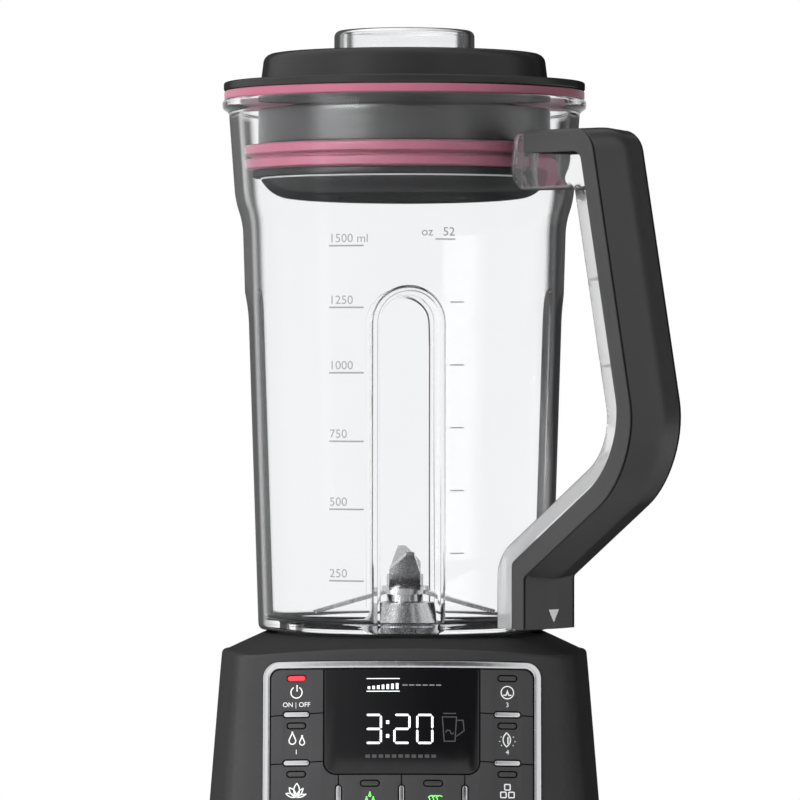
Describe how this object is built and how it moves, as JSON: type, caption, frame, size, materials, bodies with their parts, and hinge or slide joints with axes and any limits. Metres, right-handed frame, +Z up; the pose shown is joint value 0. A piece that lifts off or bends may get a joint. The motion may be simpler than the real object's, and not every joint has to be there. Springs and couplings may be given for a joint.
{
  "type": "vacuum blender",
  "caption": "Countertop vacuum blender: dark motor base with a framed key panel and display, clear fluted jug with a dark-backed handle, and a sealed plug lid with a clear filler cap.",
  "frame": {"origin": "on the table, under the middle of the whole blender's box", "axes": "+Z up along the drive axis, -Y towards the person who faces the keys, +X to that person's right"},
  "size_m": [0.187, 0.1898, 0.4017],
  "materials": {
    "housing_black": "satin black moulded plastic",
    "inner_black": "plain black plastic",
    "key_grey": "fine matt dark grey plastic",
    "bright_trim": "bright satin chrome",
    "display_black": "gloss black window",
    "clear_jug": "clear, slightly smoky copolyester",
    "light_guide": "frosted light guide",
    "lid_grey": "satin dark grey plastic",
    "rose_seal": "soft rose silicone",
    "black_rubber": "black rubber",
    "steel": "brushed stainless steel",
    "cast_metal": "cast aluminium",
    "core_steel": "laminated steel",
    "copper_wire": "enamelled copper wire",
    "board_green": "glass-fibre circuit board"
  },
  "bodies": {
    "base": {"housing": "housing_black", "base_plate": "inner_black", "rubber_feet": "black_rubber", "plate_screws": "steel", "jug_seat": "inner_black", "seat_mat": "black_rubber", "shaft_seal": "black_rubber", "panel_frame": "bright_trim", "display_glass": "display_black", "display_module": "display_black", "keypad_carrier": "inner_black", "key_bars": "bright_trim", "light_guides": "light_guide", "control_board": "board_green", "key_switches": "inner_black", "power_board": "board_green", "cord_gland": "black_rubber", "stator_core": "core_steel", "field_windings": "copper_wire", "upper_bracket": "cast_metal", "lower_bracket": "cast_metal", "motor_bearings": "steel", "brush_holders": "copper_wire", "motor_dampers": "black_rubber", "fan_shroud": "inner_black"},
    "rotor": {"motor_shaft": "steel", "armature": "core_steel", "commutator": "copper_wire", "cooling_fan": "inner_black", "drive_coupling": "inner_black"},
    "jug": {"jug": "clear_jug", "handle_core": "clear_jug", "grip": "housing_black", "jug_foot": "inner_black", "blade_seal": "rose_seal", "bearing_housing": "steel", "housing_nut": "inner_black", "blade_bearings": "steel"},
    "blade": {"blade_shaft": "steel", "blade_spacer": "steel", "lower_blade": "steel", "upper_blade": "steel", "blade_nut": "steel", "jug_coupling": "inner_black"},
    "lid": {"lid_shell": "lid_grey", "rim_seal": "rose_seal", "plug_seal": "rose_seal", "lid_insert": "lid_grey"},
    "cap": {"filler_cap": "clear_jug", "cap_seal": "rose_seal"},
    "start_key": {"start_key": "key_grey"},
    "blend_key": {"blend_key": "key_grey"},
    "leaf_key": {"leaf_key": "key_grey"},
    "pulse_key": {"pulse_key": "key_grey"},
    "grind_key": {"grind_key": "key_grey"},
    "ice_key": {"ice_key": "key_grey"},
    "rinse_key": {"rinse_key": "key_grey"},
    "warm_key": {"warm_key": "key_grey"}
  },
  "joints": [
    {"name": "jug_lift", "type": "slide", "parent": "base", "child": "jug", "axis": [0, 0, 1], "range_m": [0, 0.06]},
    {"name": "lid_lift", "type": "slide", "parent": "jug", "child": "lid", "axis": [0, 0, 1], "range_m": [0, 0.06]},
    {"name": "cap_lift", "type": "slide", "parent": "lid", "child": "cap", "axis": [0, 0, 1], "range_m": [0, 0.06]},
    {"name": "motor_spin", "type": "hinge", "parent": "base", "child": "rotor", "pos_m": [-0.01054, 0.00549, 0.08], "axis": [0, 0, 1], "continuous": true},
    {"name": "blade_spin", "type": "hinge", "parent": "jug", "child": "blade", "pos_m": [-0.01054, 0.00549, 0.186], "axis": [0, 0, 1], "continuous": true},
    {"name": "start_press", "type": "slide", "parent": "base", "child": "start_key", "axis": [0, 0.9925, -0.1219], "range_m": [0, 0.0008], "stiffness_N_per_m": 1500, "springref_m": -0.0006},
    {"name": "blend_press", "type": "slide", "parent": "base", "child": "blend_key", "axis": [0, 0.9925, -0.1219], "range_m": [0, 0.0008], "stiffness_N_per_m": 1500, "springref_m": -0.0006},
    {"name": "leaf_press", "type": "slide", "parent": "base", "child": "leaf_key", "axis": [0, 0.9925, -0.1219], "range_m": [0, 0.0008], "stiffness_N_per_m": 1500, "springref_m": -0.0006},
    {"name": "pulse_press", "type": "slide", "parent": "base", "child": "pulse_key", "axis": [0, 0.9925, -0.1219], "range_m": [0, 0.0008], "stiffness_N_per_m": 1500, "springref_m": -0.0006},
    {"name": "grind_press", "type": "slide", "parent": "base", "child": "grind_key", "axis": [0, 0.9925, -0.1219], "range_m": [0, 0.0008], "stiffness_N_per_m": 1500, "springref_m": -0.0006},
    {"name": "ice_press", "type": "slide", "parent": "base", "child": "ice_key", "axis": [0, 0.9925, -0.1219], "range_m": [0, 0.0008], "stiffness_N_per_m": 1500, "springref_m": -0.0006},
    {"name": "rinse_press", "type": "slide", "parent": "base", "child": "rinse_key", "axis": [0, 0.9925, -0.1219], "range_m": [0, 0.0008], "stiffness_N_per_m": 1500, "springref_m": -0.0006},
    {"name": "warm_press", "type": "slide", "parent": "base", "child": "warm_key", "axis": [0, 0.9925, -0.1219], "range_m": [0, 0.0008], "stiffness_N_per_m": 1500, "springref_m": -0.0006}
  ],
  "couplings": [
    {"joint": "blade_spin", "follows": "motor_spin", "ratio": 1}
  ]
}
